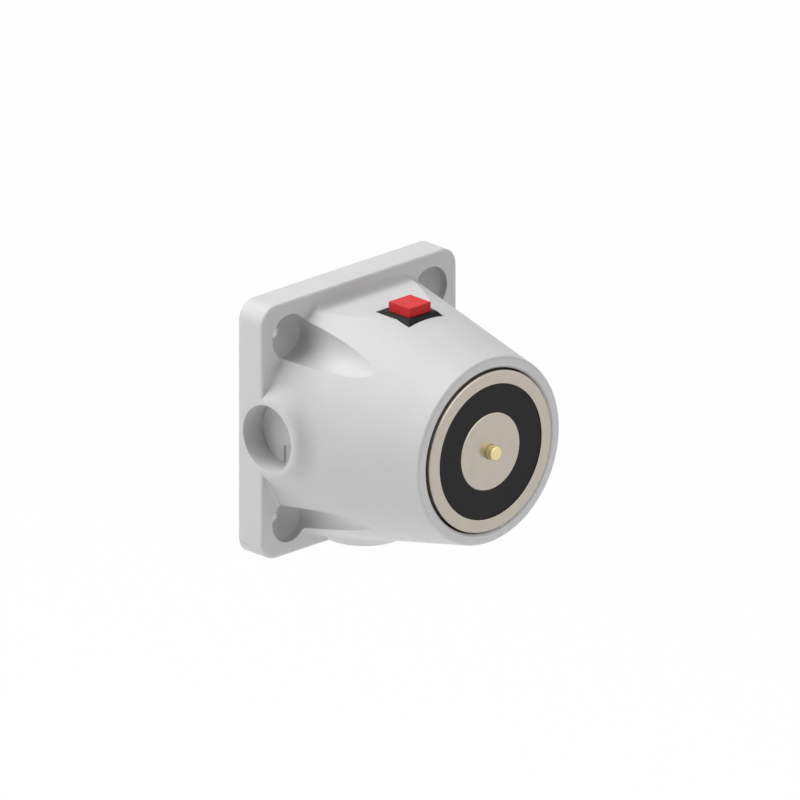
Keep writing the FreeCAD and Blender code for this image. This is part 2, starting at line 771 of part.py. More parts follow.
def make_magnet():
    """Pot, core, coil and potting of the holding magnet."""
    pot_blank = turned(
        "pot_blank",
        [
            ("({spigot_radius} + {seat_clearance})", MAGNET_BACK),
            ("{pot_radius}", MAGNET_BACK),
            ("{pot_radius}", "(" + MAGNET_FRONT + " - {edge_break})"),
            ("({pot_radius} - {edge_break})", MAGNET_FRONT),
            (POT_INSIDE, MAGNET_FRONT),
            (POT_INSIDE, POT_FLOOR),
            ("({spigot_radius} + {seat_clearance})", POT_FLOOR),
        ],
    )
    holes = []
    for side, sign in (("left", "-"), ("right", "")):
        holes.append(
            rod(
                "pot_tapping_" + side, "z", "({fixing_radius} + {seat_clearance})",
                MAGNET_BACK + " - {overshoot}", MAGNET_BACK + " + {fixing_grip} + {wire_play}",
                (sign + "{fixing_spread}", "0"),
            )
        )
        holes.append(
            rod(
                "pot_lead_hole_" + side, "z", "({wire_radius} + {wire_play})",
                MAGNET_BACK + " - {overshoot}", POT_FLOOR + " + {overshoot}",
                (sign + "{coil_lead_x}", "{coil_lead_y}"),
            )
        )
    pot = cut("magnet_pot", pot_blank, *holes)
    core = turned(
        "magnet_core",
        [
            (SPRING_BORE, MAGNET_BACK),
            ("{spigot_radius}", MAGNET_BACK),
            ("{spigot_radius}", POT_FLOOR),
            ("{core_radius}", POT_FLOOR),
            ("{core_radius}", "(" + MAGNET_FRONT + " - {core_break})"),
            ("({core_radius} - {core_break})", MAGNET_FRONT),
            (PIN_HOLE, MAGNET_FRONT),
            (PIN_HOLE, PIN_SHOULDER),
            (SPRING_BORE, PIN_SHOULDER),
        ],
    )
    tube_in = "({core_radius} + {coil_play})"
    tube_out = "({core_radius} + {coil_play} + {bobbin_wall})"
    cheek = "(" + POT_INSIDE + " - {coil_play})"
    first = "(" + POT_FLOOR + " + {seat_clearance})"
    last = "(" + POTTING_BACK + " - {seat_clearance})"
    bobbin = turned(
        "coil_bobbin",
        [
            (tube_in, first),
            (cheek, first),
            (cheek, "(" + first + " + {bobbin_wall})"),
            (tube_out, "(" + first + " + {bobbin_wall})"),
            (tube_out, "(" + last + " - {bobbin_wall})"),
            (cheek, "(" + last + " - {bobbin_wall})"),
            (cheek, last),
            (tube_in, last),
        ],
    )
    winding_first = "(" + first + " + {bobbin_wall} + {seat_clearance})"
    winding_last = "(" + last + " - {bobbin_wall} - {seat_clearance})"
    winding = turned(
        "coil_winding",
        [
            ("(" + tube_out + " + {seat_clearance})", winding_first),
            ("(" + cheek + " - {bobbin_wall})", winding_first),
            ("(" + cheek + " - {bobbin_wall})", winding_last),
            ("(" + tube_out + " + {seat_clearance})", winding_last),
        ],
    )
    potting = turned(
        "potting_ring",
        [
            ("({core_radius} + {seat_clearance})", POTTING_BACK),
            ("(" + POT_INSIDE + " - {seat_clearance})", POTTING_BACK),
            ("(" + POT_INSIDE + " - {seat_clearance})", POTTING_FRONT),
            ("({core_radius} + {seat_clearance})", POTTING_FRONT),
        ],
    )
    return [pot, core, bobbin, winding, potting]


def make_spring(name, axis, centre, wire, coil, turns, start, end):
    """A round-wire compression spring along an axis, lofted ring by ring."""
    radius = number_of(coil)
    thick = number_of(wire)
    play = number_of(wire + " + {seat_clearance}")
    first = number_of(start) + play
    rise = number_of(end) - play - first
    steps = int(number_of(turns)) * RINGS_PER_TURN
    climb = rise * RINGS_PER_TURN / steps / (2 * math.pi * radius)
    rings = []
    for step in range(steps + 1):
        angle = 2 * math.pi * step / RINGS_PER_TURN
        outward = Vector(math.cos(angle), math.sin(angle), 0)
        middle = outward * radius + Vector(0, 0, first + rise * step / steps)
        tangent = Vector(-math.sin(angle), math.cos(angle), climb)
        upright = outward.cross(tangent)
        upright.normalize()
        ring = []
        for side in range(WIRE_SIDES + 1):
            around = 2 * math.pi * side / WIRE_SIDES
            ring.append(middle + (outward * math.cos(around) + upright * math.sin(around)) * thick)
        rings.append(Part.makePolygon(ring))
    shape = Part.makeLoft(rings, True, True)
    shape.Placement = FreeCAD.Placement(centre, ALONG[axis])
    spring = doc.addObject("Part::Feature", name + "_coil")
    spring.Shape = shape
    return whole(name, spring)


def make_ejector():
    """The ejector pin, its spring and the plug that holds both in the core."""
    shoulder = "(" + PIN_SHOULDER + " - {seat_clearance})"
    collar_back = "(" + shoulder + " - {collar_height})"
    pin = turned(
        "ejector_pin",
        [
            ("0", "(" + collar_back + " - {stem_length})"),
            ("{stem_radius}", "(" + collar_back + " - {stem_length})"),
            ("{stem_radius}", collar_back),
            ("{collar_radius}", collar_back),
            ("{collar_radius}", shoulder),
            ("{pin_radius}", shoulder),
            ("{pin_radius}", "(" + PIN_TOP + " - {edge_break})"),
            ("({pin_radius} - {edge_break})", PIN_TOP),
            ("0", PIN_TOP),
        ],
    )
    spring = make_spring(
        "ejector_spring", "z", Vector(0, 0, 0), "{pin_wire}", "{pin_coil}", "{pin_coil_turns}",
        PLUG_FRONT, collar_back,
    )
    plug_blank = turned(
        "plug_blank",
        [
            ("0", MAGNET_BACK),
            ("(" + SPRING_BORE + " - {seat_clearance})", MAGNET_BACK),
            ("(" + SPRING_BORE + " - {seat_clearance})", PLUG_FRONT),
            ("0", PLUG_FRONT),
        ],
    )
    slot = box(
        "plug_slot",
        ("-{flange_depth}", "{flange_depth}"),
        ("-{slot_width} / 2", "{slot_width} / 2"),
        (MAGNET_BACK + " - {overshoot}", MAGNET_BACK + " + {slot_depth}"),
    )
    plug = cut("spring_plug", plug_blank, slot)
    return [pin, spring, plug]


def make_screw(name, x, y, seat, radius, grip_end, head_radius, head_height):
    """A slotted screw driven away from the wall; its head lies below the seat level."""
    shank = rod(name + "_shank", "z", radius, seat, grip_end, (x, y))
    head = rod(name + "_head", "z", head_radius, seat + " - " + head_height, seat, (x, y))
    slot = box(
        name + "_slot",
        (x + " - {slot_width} / 2", x + " + {slot_width} / 2"),
        (y + " - 2 * " + head_radius, y + " + 2 * " + head_radius),
        (seat + " - 2 * " + head_height, seat + " - " + head_height + " * (1 - {slot_share})"),
    )
    return cut(name, fuse(name + "_blank", shank, head), slot)


def make_fixings():
    """The two screws and washers that hold the magnet to the web."""
    pieces = []
    seat = "(" + WEB_BACK + " - {washer_thick})"
    for side, sign in (("left", "-"), ("right", "")):
        x = "(" + sign + "{fixing_spread})"
        pieces.append(
            make_screw(
                "magnet_screw_" + side, x, "0", seat, "{fixing_radius}",
                MAGNET_BACK + " + {fixing_grip}", "{fixing_head_radius}", "{fixing_head_height}",
            )
        )
        disc = rod("washer_disc_" + side, "z", "{washer_radius}", seat, WEB_BACK, (x, "0"))
        hole = rod(
            "washer_hole_" + side, "z", "({fixing_radius} + {seat_clearance})", seat + " - {overshoot}",
            WEB_BACK + " + {overshoot}", (x, "0"),
        )
        pieces.append(cut("magnet_washer_" + side, disc, hole))
    return pieces


def square_block(name, width, bottom, top):
    """A square block about the button's axis, between two heights."""
    half = "(" + width + " / 2)"
    return box(
        name, ("-" + half, half), (bottom, top),
        (BUTTON + " - " + half, BUTTON + " + " + half),
    )


def make_switch():
    """The black switch body with its bevelled bezel, the base and the blades."""
    bevel = doc.addObject("Part::Wedge", "bezel_bevel")
    bind(
        bevel,
        Xmin="-{bezel_width} / 2", Xmax="{bezel_width} / 2",
        Zmin="-{bezel_width} / 2", Zmax="{bezel_width} / 2",
        X2min="-{bezel_top_width} / 2", X2max="{bezel_top_width} / 2",
        Z2min="-{bezel_top_width} / 2", Z2max="{bezel_top_width} / 2",
        Ymin=BEZEL_SHOULDER, Ymax=BEZEL_TOP,
    )
    put(bevel, z=BUTTON)
    rim = square_block("bezel_rim", "{bezel_width}", BEZEL_SEAT, BEZEL_SHOULDER)
    case = square_block("switch_case", "{switch_width}", SWITCH_BOTTOM, BEZEL_SEAT)
    lug_top = "(" + FLAT + " - {wall} - 2 * {bezel_play} - {seat_clearance})"
    lugs = []
    for side, turn in (("left", 180), ("right", 0)):
        lug = doc.addObject("Part::Wedge", "switch_lug_" + side)
        bind(
            lug,
            Xmin="0", Xmax="({switch_width} / 2 + {seat_clearance})",
            X2min="0", X2max="({switch_width} / 2 + {lug_reach})",
            Zmin="-{lug_width} / 2", Zmax="{lug_width} / 2",
            Z2min="-{lug_width} / 2", Z2max="{lug_width} / 2",
            Ymin="(" + lug_top + " - {lug_height})", Ymax=lug_top,
        )
        lug.Placement = FreeCAD.Placement(Vector(0, 0, 0), Rotation(Vector(0, 1, 0), turn))
        lugs.append(put(lug, z=BUTTON))
    guide = square_block(
        "switch_guide_space", "({button_width} + 2 * {button_play})", GUIDE_FOOT + " - {overshoot}",
        BEZEL_TOP + " + {overshoot}",
    )
    chamber = square_block(
        "switch_chamber_space", "{switch_chamber}", SWITCH_BOTTOM + " - {overshoot}", GUIDE_FOOT
    )
    body = cut("switch_body", fuse("switch_solid", bevel, rim, case, *lugs), guide, chamber)

    plate = square_block(
        "switch_plate", "({switch_chamber} - 2 * {seat_clearance})", SWITCH_BOTTOM, SWITCH_FLOOR
    )
    peg = rod(
        "switch_peg", "y", "{peg_radius}", SWITCH_FLOOR, SWITCH_FLOOR + " + {peg_height}",
        ("0", BUTTON),
    )
    slots = []
    blades = []
    for side, sign in (("left", "-"), ("right", "")):
        for purpose, play in (("slot", "{seat_clearance}"), ("blade", "0")):
            reach = "({blade_thick} / 2 + " + play + ")"
            width = "({blade_width} / 2 + " + play + ")"
            low, high = BLADE_END, SWITCH_FLOOR + " + {blade_thick}"
            if purpose == "slot":
                low, high = SWITCH_BOTTOM + " - {overshoot}", SWITCH_FLOOR + " + {overshoot}"
            centre = sign + "{blade_spread}"
            name = "blade_" + purpose + "_" + side
            piece = box(
                name,
                (centre + " - " + reach, centre + " + " + reach),
                (low, high),
                (BUTTON + " - " + width, BUTTON + " + " + width),
            )
            if purpose == "slot":
                slots.append(piece)
            else:
                blades.append(whole("switch_terminal_" + side, piece))
    base = cut("switch_base", fuse("switch_base_blank", plate, peg), *slots)
    return [body, base] + blades


def make_button():
    """The red cap, sliding in the bezel, and its return spring."""
    head = square_block("button_head", "{button_width}", CAP_FOOT, CAP_TOP)
    collar = square_block(
        "button_stop", "({button_width} + 2 * {button_collar})", CAP_FOOT,
        "(" + GUIDE_FOOT + " - {seat_clearance})",
    )
    bore = rod(
        "button_spring_bore", "y", "{button_bore}", CAP_FOOT + " - {overshoot}",
        CAP_FOOT + " + {button_bore_depth}", ("0", BUTTON),
    )
    cap = cut("button_cap", fuse("button_solid", head, collar), bore)
    top = "(" + CAP_FOOT + " + {button_bore_depth})"
    spring = make_spring(
        "button_spring", "y", Vector(0, 0, number_of(BUTTON)), "{button_wire}",
        "{button_coil}", "{button_coil_turns}", SWITCH_FLOOR, top,
    )
    return [cap, spring]


def make_board():
    """The circuit board on its posts, with its two screws."""
    half = "({board_width} / 2)"
    blank = box("board_blank", ("-" + half, half), (BOARD_BOTTOM, "{board_top}"),
                (BOARD_BACK, BOARD_FRONT))
    holes = []
    screws = []
    for side, sign in (("left", "-"), ("right", "")):
        x = "(" + sign + POST_X + ")"
        holes.append(
            rod(
                "board_hole_" + side, "z", "({board_screw_radius} + {wire_play})",
                BOARD_BACK + " - {overshoot}", BOARD_FRONT + " + {overshoot}", (x, POST_Y),
            )
        )
        screws.append(
            make_screw(
                "board_screw_" + side, x, POST_Y, BOARD_BACK, "{board_screw_radius}",
                BOARD_FRONT + " + {board_screw_grip} - {wire_play}", "{board_head_radius}",
                "{board_head_height}",
            )
        )
    return [cut("circuit_board", blank, *holes)] + screws


def make_terminal():
    """The two-pole wiring terminal with its cages and clamping screws."""
    half = "({block_width} / 2)"
    blank = box("block_blank", ("-" + half, half), (BLOCK_BOTTOM, BLOCK_TOP),
                (BLOCK_BACK, BOARD_BACK))
    middle = "(" + BLOCK_TOP + " - {block_height} / 2)"
    mouth_top = "(" + BOARD_BACK + " - {pole_mouth_rise})"
    mouth_bottom = "(" + mouth_top + " - {pole_mouth_height})"
    half_mouth = "({pole_mouth} / 2)"
    spaces = []
    pieces = []
    for side, sign in (("left", "-"), ("right", "")):
        x = "(" + sign + "{pole_spread})"
        spaces.append(
            rod(
                "pole_well_" + side, "z", "{pole_well}", BLOCK_BACK + " - {overshoot}", mouth_top,
                (x, middle),
            )
        )
        spaces.append(
            box(
                "pole_mouth_" + side,
                (x + " - " + half_mouth, x + " + " + half_mouth),
                (BLOCK_BOTTOM + " - {overshoot}", middle + " + " + half_mouth + " + {cage_wall}"),
                (mouth_bottom, mouth_top),
            )
        )
        play = "{seat_clearance}"
        outer = "(" + half_mouth + " - " + play + ")"
        shell = box(
            "cage_shell_" + side,
            (x + " - " + outer, x + " + " + outer),
            (middle + " - " + outer, middle + " + " + outer),
            (mouth_bottom + " + " + play, mouth_top + " - " + play),
        )
        inner = "(" + outer + " - {cage_wall})"
        mouth = box(
            "cage_mouth_" + side,
            (x + " - " + inner, x + " + " + inner),
            (middle + " - 2 * " + outer, middle + " + 2 * " + outer),
            (mouth_bottom + " + " + play + " + {cage_wall}", mouth_top + " - " + play + " - {cage_wall}"),
        )
        # the screw stands in a hole in the cage's wall
        screw_end = "(" + mouth_bottom + " + 2 * {cage_wall})"
        thread = "{clamp_thread_radius}"
        hole = rod(
            "cage_hole_" + side, "z", "(" + thread + " + " + play + ")",
            mouth_bottom + " - {overshoot}", mouth_bottom + " + 2 * {cage_wall}", (x, middle),
        )
        pieces.append(cut("terminal_clamp_" + side, shell, mouth, hole))
        head_front = "(" + mouth_bottom + " - " + play + ")"
        head = rod(
            "clamp_head_" + side, "z", "{clamp_screw_radius}",
            head_front + " - {clamp_head_height}", head_front, (x, middle),
        )
        shank = rod("clamp_shank_" + side, "z", thread, head_front, screw_end, (x, middle))
        slot = box(
            "clamp_slot_" + side,
            (x + " - {clamp_screw_slot} / 2", x + " + {clamp_screw_slot} / 2"),
            (middle + " - 2 * {clamp_screw_radius}", middle + " + 2 * {clamp_screw_radius}"),
            (head_front + " - 2 * {clamp_head_height}",
             head_front + " - {clamp_head_height} + {clamp_screw_slot_depth}"),
        )
        pieces.append(
            cut("terminal_screw_" + side, fuse("clamp_screw_blank_" + side, head, shank), slot)
        )
    return [cut("terminal_block", blank, *spaces)] + pieces


def rounded_path(points):
    """A wire of straight runs joined by tangent arcs, as large as the runs allow."""
    edges = []
    start = points[0]
    for before, corner, after in zip(points, points[1:], points[2:]):
        back = (before - corner)
        ahead = (after - corner)
        turn = math.pi - back.getAngle(ahead)
        trim = BEND_SHARE * min(back.Length, ahead.Length)
        radius = trim / math.tan(turn / 2)
        back.normalize()
        ahead.normalize()
        entry = corner + back * trim
        leave = corner + ahead * trim
        middle_way = back + ahead
        middle_way.normalize()
        middle = corner + middle_way * (radius / math.cos(turn / 2) - radius)
        edges.append(Part.makeLine(start, entry))
        edges.append(Part.Arc(entry, middle, leave).toShape())
        start = leave
    edges.append(Part.makeLine(start, points[-1]))
    return Part.Wire(edges)


def round_wire(name, radius, points):
    """A round wire along a rounded path, starting along its first run."""
    path = rounded_path(points)
    ring = Part.Wire([Part.makeCircle(radius, points[0], points[1] - points[0])])
    wire = doc.addObject("Part::Feature", name)
    wire.Shape = path.makePipeShell([ring], True, True)
    return wire


def make_diode():
    """The suppression diode, lying along x on the back of the board."""
    y = "({board_top} - {diode_drop})"
    centre_z = "(" + BOARD_BACK + " - {diode_rise})"
    half = "({diode_length} / 2)"
    case = rod("diode_case", "x", "{diode_radius}", "{diode_x} - " + half, "{diode_x} + " + half,
               (y, centre_z))
    level = number_of(y)
    board = number_of(BOARD_BACK)
    raised = number_of(centre_z)
    first = number_of("{diode_x} - {diode_span} / 2")
    last = number_of("{diode_x} + {diode_span} / 2")
    points = [
        Vector(first, level, board),
        Vector(first, level, raised),
        Vector(last, level, raised),
        Vector(last, level, board),
    ]
    legs = round_wire("diode_wire", number_of("{diode_leg}"), points)
    return [fuse("suppression_diode", case, legs)]


def make_wires():
    """The coil's leads to the board and the switch's leads to the board."""
    leads = []
    for side, sign in (("left", "-"), ("right", "")):
        bar = rod(
            "coil_lead_bar_" + side, "z", "{wire_radius}", BOARD_FRONT, POT_FLOOR,
            (sign + "{coil_lead_x}", "{coil_lead_y}"),
        )
        leads.append(whole("coil_lead_" + side, bar))
    blade_end = number_of(BLADE_END)
    board_back = number_of(BOARD_BACK)
    button = number_of(BUTTON)
    pad = number_of("{board_top} - {pad_drop}")
    radius = number_of("{wire_radius}")
    straight = number_of("{lead_straight}")
    bow_drop = number_of("{lead_bow_drop}")
    bow = number_of("{lead_bow}")
    loop = number_of("{lead_loop}")
    loop_rise = number_of("{lead_loop_rise}")
    end_run = number_of("{lead_end}")
    for side, sign in (("left", -1), ("right", 1)):
        x = sign * number_of("{blade_spread}")
        points = [
            Vector(x, blade_end, button),
            Vector(x, blade_end - straight, button),
            Vector(x, blade_end - bow_drop, button - bow),
            Vector(x, pad + loop_rise, board_back - loop),
            Vector(x, pad, board_back - end_run),
            Vector(x, pad, board_back),
        ]
        leads.append(round_wire("switch_lead_" + side, radius, points))
    return leads


pieces = [make_housing()] + make_magnet() + make_ejector() + make_fixings()
pieces += make_switch() + make_button() + make_board() + make_terminal()
pieces += make_diode() + make_wires()
for piece in pieces:
    piece.Label = piece.Name
    piece.Placement = BENCH_TO_WALL
doc.recompute()

faults = [
    thing.Name for thing in doc.Objects if "Invalid" in thing.State or "Error" in thing.State
]
for piece in pieces:
    if piece.Shape.isNull() or not piece.Shape.isValid() or len(piece.Shape.Solids) != 1:
        faults.append(piece.Name)
if faults:
    raise RuntimeError("these did not build: " + ", ".join(faults))

os.makedirs("parts", exist_ok=True)
for piece in pieces:
    piece.Shape.exportStep("parts/" + piece.Label + ".step")
print(len(pieces), "pieces written")
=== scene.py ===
import json
import math

import bmesh
import bpy
from mathutils import Matrix, Vector


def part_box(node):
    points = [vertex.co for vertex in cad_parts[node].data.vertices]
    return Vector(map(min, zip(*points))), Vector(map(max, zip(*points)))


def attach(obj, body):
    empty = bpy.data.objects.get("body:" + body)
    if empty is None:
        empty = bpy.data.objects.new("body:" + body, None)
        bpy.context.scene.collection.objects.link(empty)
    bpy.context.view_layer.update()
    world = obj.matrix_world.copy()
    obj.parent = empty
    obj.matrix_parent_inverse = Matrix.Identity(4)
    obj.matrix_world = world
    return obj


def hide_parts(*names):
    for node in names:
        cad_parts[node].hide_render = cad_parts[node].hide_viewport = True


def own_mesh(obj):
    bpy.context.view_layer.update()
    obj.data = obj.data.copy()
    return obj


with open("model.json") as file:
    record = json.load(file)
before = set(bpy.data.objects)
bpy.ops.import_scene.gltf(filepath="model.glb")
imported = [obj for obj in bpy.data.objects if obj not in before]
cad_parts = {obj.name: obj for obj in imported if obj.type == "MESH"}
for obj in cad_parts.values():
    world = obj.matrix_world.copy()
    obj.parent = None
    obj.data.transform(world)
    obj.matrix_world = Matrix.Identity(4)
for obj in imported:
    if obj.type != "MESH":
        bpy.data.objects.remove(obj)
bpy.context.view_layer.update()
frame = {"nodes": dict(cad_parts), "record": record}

MM = 0.001
WHITE = (1, 1, 1, 1)

# Camera: a parallel view from the front left, a little from above
IMAGE_SIDE = 800
CAMERA_TURN = math.radians(43.889)
CAMERA_RISE = math.radians(20.364)
PIXELS_PER_MM = 3.374
ORIGIN_PIXEL = (335.789, 395.37)
CAMERA_DISTANCE = 1.2
CAMERA_CLIP_END = 10.0

# Lamps: the level that each adds to a white surface facing it, its side in metres, and the
# direction in which it stands
LAMPS = {
    "key_lamp": (0.63, 1.0, (-0.52, 0.42, 0.74)),
    "top_lamp": (0.66, 0.8, (-0.12, 0.46, 0.88)),
    "left_lamp": (0.22, 1.0, (-0.85, 0.45, 0.27)),
    "front_lamp": (0.36, 1.4, (0.02, -0.88, 0.48)),
    "right_lamp": (0.30, 1.4, (0.62, -0.77, 0.15)),
}
LAMP_DISTANCE = 1.2
LAMP_TARGET = (0, -0.03, 0)
SKY_LEVEL = 0.02

# Floor: below the part, which hangs on a wall; its glow stands for light from the room
FLOOR_LEVEL = -0.30
FLOOR_SIDE = 12.0
FLOOR_COLOUR = 0.92
FLOOR_GLOW = 0.27
FLOOR_WHITE = 0.97

# Solder joints in mm: the wires' radii, and the cone as (growth of the radius, height)
LEAD_RADIUS = 0.6
LEG_RADIUS = 0.35
SOLDER_CONE = ((0.75, -0.05), (0.74, 0.04), (0.50, 0.16), (0.28, 0.38), (0.12, 0.72), (0.03, 0.86))
CONE_FACETS = 32

# Springs: the joint that presses each, the direction from its fixed end, and the travel in mm
SPRINGS = {
    "ejector_spring": ("pin_press", (0, -1, 0), 2.6),
    "button_spring": ("button_press", (0, 0, 1), 1.6),
}

# Finishes: the middle band of a noise that is stretched over a range, and other settings
NOISE_LOW = 0.3
NOISE_HIGH = 0.7
BEVEL_SAMPLES = 6
WIRE_PITCH = 0.5
BANDS_PER_UNIT = 20
TRACK_SCALE = 160.0


def view_axes():
    """Right, up and back vectors of the camera."""
    right = Vector((math.cos(CAMERA_TURN), -math.sin(CAMERA_TURN), 0))
    back = Vector((
        -math.sin(CAMERA_TURN) * math.cos(CAMERA_RISE),
        -math.cos(CAMERA_TURN) * math.cos(CAMERA_RISE),
        math.sin(CAMERA_RISE),
    ))
    return right, back.cross(right), back


def make_camera():
    """The camera, placed so that the origin falls on its pixel."""
    right, up, back = view_axes()
    middle = (IMAGE_SIDE - 1) / 2
    across = (middle - ORIGIN_PIXEL[0]) / PIXELS_PER_MM * MM
    upward = (ORIGIN_PIXEL[1] - middle) / PIXELS_PER_MM * MM
    target = right * across + up * upward
    camera = bpy.data.cameras.new("camera")
    camera.type = "ORTHO"
    camera.ortho_scale = IMAGE_SIDE / PIXELS_PER_MM * MM
    camera.clip_end = CAMERA_CLIP_END
    item = bpy.data.objects.new("camera", camera)
    turn = Matrix((right, up, back)).transposed().to_4x4()
    item.matrix_world = Matrix.Translation(target + back * CAMERA_DISTANCE) @ turn
    bpy.context.collection.objects.link(item)
    bpy.context.scene.camera = item


def add_lamp(name, level, side, direction):
    """A square lamp that faces the object; level is what it adds to a white surface."""
    lamp = bpy.data.lights.new(name, "AREA")
    lamp.shape = "SQUARE"
    lamp.size = side
    lamp.energy = math.pi ** 2 * level * LAMP_DISTANCE ** 2
    item = bpy.data.objects.new(name, lamp)
    away = Vector(direction).normalized()
    item.matrix_world = (
        Matrix.Translation(away * LAMP_DISTANCE + Vector(LAMP_TARGET))
        @ away.to_track_quat("Z", "Y").to_matrix().to_4x4()
    )
    bpy.context.collection.objects.link(item)


def node(tree, kind, **settings):
    """A new shader node; each keyword sets a socket of that name, or else a property."""
    item = tree.nodes.new(kind)
    for name, value in settings.items():
        if name in item.inputs:
            item.inputs[name].default_value = value
        else:
            setattr(item, name, value)
    return item


def seen_directly(tree):
    """One for camera, glossy and transmission rays, and zero for the rest."""
    path = node(tree, "ShaderNodeLightPath")
    total = path.outputs["Is Camera Ray"]
    for name in ("Is Glossy Ray", "Is Transmission Ray"):
        either = node(tree, "ShaderNodeMath", operation="MAXIMUM")
        tree.links.new(total, either.inputs[0])
        tree.links.new(path.outputs[name], either.inputs[1])
        total = either.outputs[0]
    return total


def make_world():
    """A dim sky that looks white."""
    world = bpy.data.worlds.new("studio")
    bpy.context.scene.world = world
    world.use_nodes = True
    tree = world.node_tree
    tree.nodes.clear()
    soft = node(tree, "ShaderNodeBackground", Color=WHITE, Strength=SKY_LEVEL)
    white = node(tree, "ShaderNodeBackground", Color=WHITE, Strength=1.0)
    mix = node(tree, "ShaderNodeMixShader")
    out = node(tree, "ShaderNodeOutputWorld")
    tree.links.new(seen_directly(tree), mix.inputs[0])
    tree.links.new(soft.outputs[0], mix.inputs[1])
    tree.links.new(white.outputs[0], mix.inputs[2])
    tree.links.new(mix.outputs[0], out.inputs[0])


def make_floor():
    """A pale floor that looks nearly white and keeps a share of its shadow."""
    bpy.ops.mesh.primitive_plane_add(size=FLOOR_SIDE, location=(0, 0, FLOOR_LEVEL))
    floor = bpy.context.active_object
    floor.name = "floor"
    material = bpy.data.materials.new("floor_white")
    material.use_nodes = True
    tree = material.node_tree
    tree.nodes.clear()
    matte = node(tree, "ShaderNodeBsdfDiffuse", Color=(FLOOR_COLOUR,) * 3 + (1,))
    glow = node(tree, "ShaderNodeEmission", Color=WHITE, Strength=FLOOR_GLOW)
    lit = node(tree, "ShaderNodeAddShader")
    white = node(tree, "ShaderNodeEmission", Color=WHITE, Strength=1.0)
    share = node(tree, "ShaderNodeMath", operation="MULTIPLY")
    share.inputs[1].default_value = FLOOR_WHITE
    mix = node(tree, "ShaderNodeMixShader")
    out = node(tree, "ShaderNodeOutputMaterial")
    tree.links.new(matte.outputs[0], lit.inputs[0])
    tree.links.new(glow.outputs[0], lit.inputs[1])
    tree.links.new(seen_directly(tree), share.inputs[0])
    tree.links.new(share.outputs[0], mix.inputs[0])
    tree.links.new(lit.outputs[0], mix.inputs[1])
    tree.links.new(white.outputs[0], mix.inputs[2])
    tree.links.new(mix.outputs[0], out.inputs[0])
    floor.data.materials.append(material)


class Finish:
    """A material in the making: a principled shader with detail nodes."""

    def __init__(self, name, colour, roughness, metallic=0.0, specular=0.5):
        self.material = bpy.data.materials.new(name)
        self.material.use_nodes = True
        self.tree = self.material.node_tree
        self.shader = self.tree.nodes["Principled BSDF"]
        self.colour = colour
        self.shader.inputs["Base Color"].default_value = (*colour, 1)
        self.shader.inputs["Roughness"].default_value = roughness
        self.shader.inputs["Metallic"].default_value = metallic
        self.shader.inputs["Specular IOR Level"].default_value = specular
        self.place = node(self.tree, "ShaderNodeTexCoord").outputs["Object"]
        self.normal = None

    def link(self, source, target):
        self.tree.links.new(source, target)

    def noise(self, size_mm, detail=3.0, stretch=(1, 1, 1)):
        """Noise whose lumps are about size_mm across."""
        mapping = node(self.tree, "ShaderNodeMapping", Scale=stretch)
        self.link(self.place, mapping.inputs["Vector"])
        item = node(self.tree, "ShaderNodeTexNoise", Scale=1 / (size_mm * MM), Detail=detail)
        self.link(mapping.outputs[0], item.inputs["Vector"])
        return item.outputs["Fac"]

    def spread(self, source, low, high):
        """The middle band of a grey value, mapped to a range."""
        item = node(self.tree, "ShaderNodeMapRange")
        item.inputs["From Min"].default_value = NOISE_LOW
        item.inputs["From Max"].default_value = NOISE_HIGH
        item.inputs["To Min"].default_value = low
        item.inputs["To Max"].default_value = high
        self.link(source, item.inputs["Value"])
        return item.outputs[0]

    def paint(self, source, darker, lighter):
        """Colour that runs between two shades of the base colour."""
        ramp = node(self.tree, "ShaderNodeValToRGB")
        ramp.color_ramp.elements[0].position = NOISE_LOW
        ramp.color_ramp.elements[1].position = NOISE_HIGH
        ramp.color_ramp.elements[0].color = (*[c * darker for c in self.colour], 1)
        ramp.color_ramp.elements[1].color = (*[min(c * lighter, 1) for c in self.colour], 1)
        self.link(source, ramp.inputs["Fac"])
        self.link(ramp.outputs["Color"], self.shader.inputs["Base Color"])

    def sheen_spread(self, source, low, high):
        """Roughness that varies between two values."""
        self.link(self.spread(source, low, high), self.shader.inputs["Roughness"])

    def set_normal(self, item):
        self.normal = item.outputs[0]
        self.link(self.normal, self.shader.inputs["Normal"])

    def bump(self, source, height_mm):
        """Raise the surface by a height map; calls stack."""
        item = node(self.tree, "ShaderNodeBump", Strength=1.0, Distance=height_mm * MM)
        self.link(source, item.inputs["Height"])
        if self.normal is not None:
            self.link(self.normal, item.inputs["Normal"])
        self.set_normal(item)

    def soften_edges(self, radius_mm):
        """Round the sharp edges in the shading."""
        item = node(self.tree, "ShaderNodeBevel", Radius=radius_mm * MM, samples=BEVEL_SAMPLES)
        self.set_normal(item)


def moulded(name, colour, roughness, specular=0.3, edge_mm=0.2):
    """Injection-moulded plastic: fine spark grain, slight flow shading."""
    finish = Finish(name, colour, roughness, specular=specular)
    finish.soften_edges(edge_mm)
    finish.paint(finish.noise(size_mm=14.0, detail=4.0), darker=0.985, lighter=1.015)
    finish.sheen_spread(finish.noise(size_mm=3.0), roughness - 0.05, roughness + 0.05)
    finish.bump(finish.noise(size_mm=0.25, detail=2.0), height_mm=0.004)
    return finish


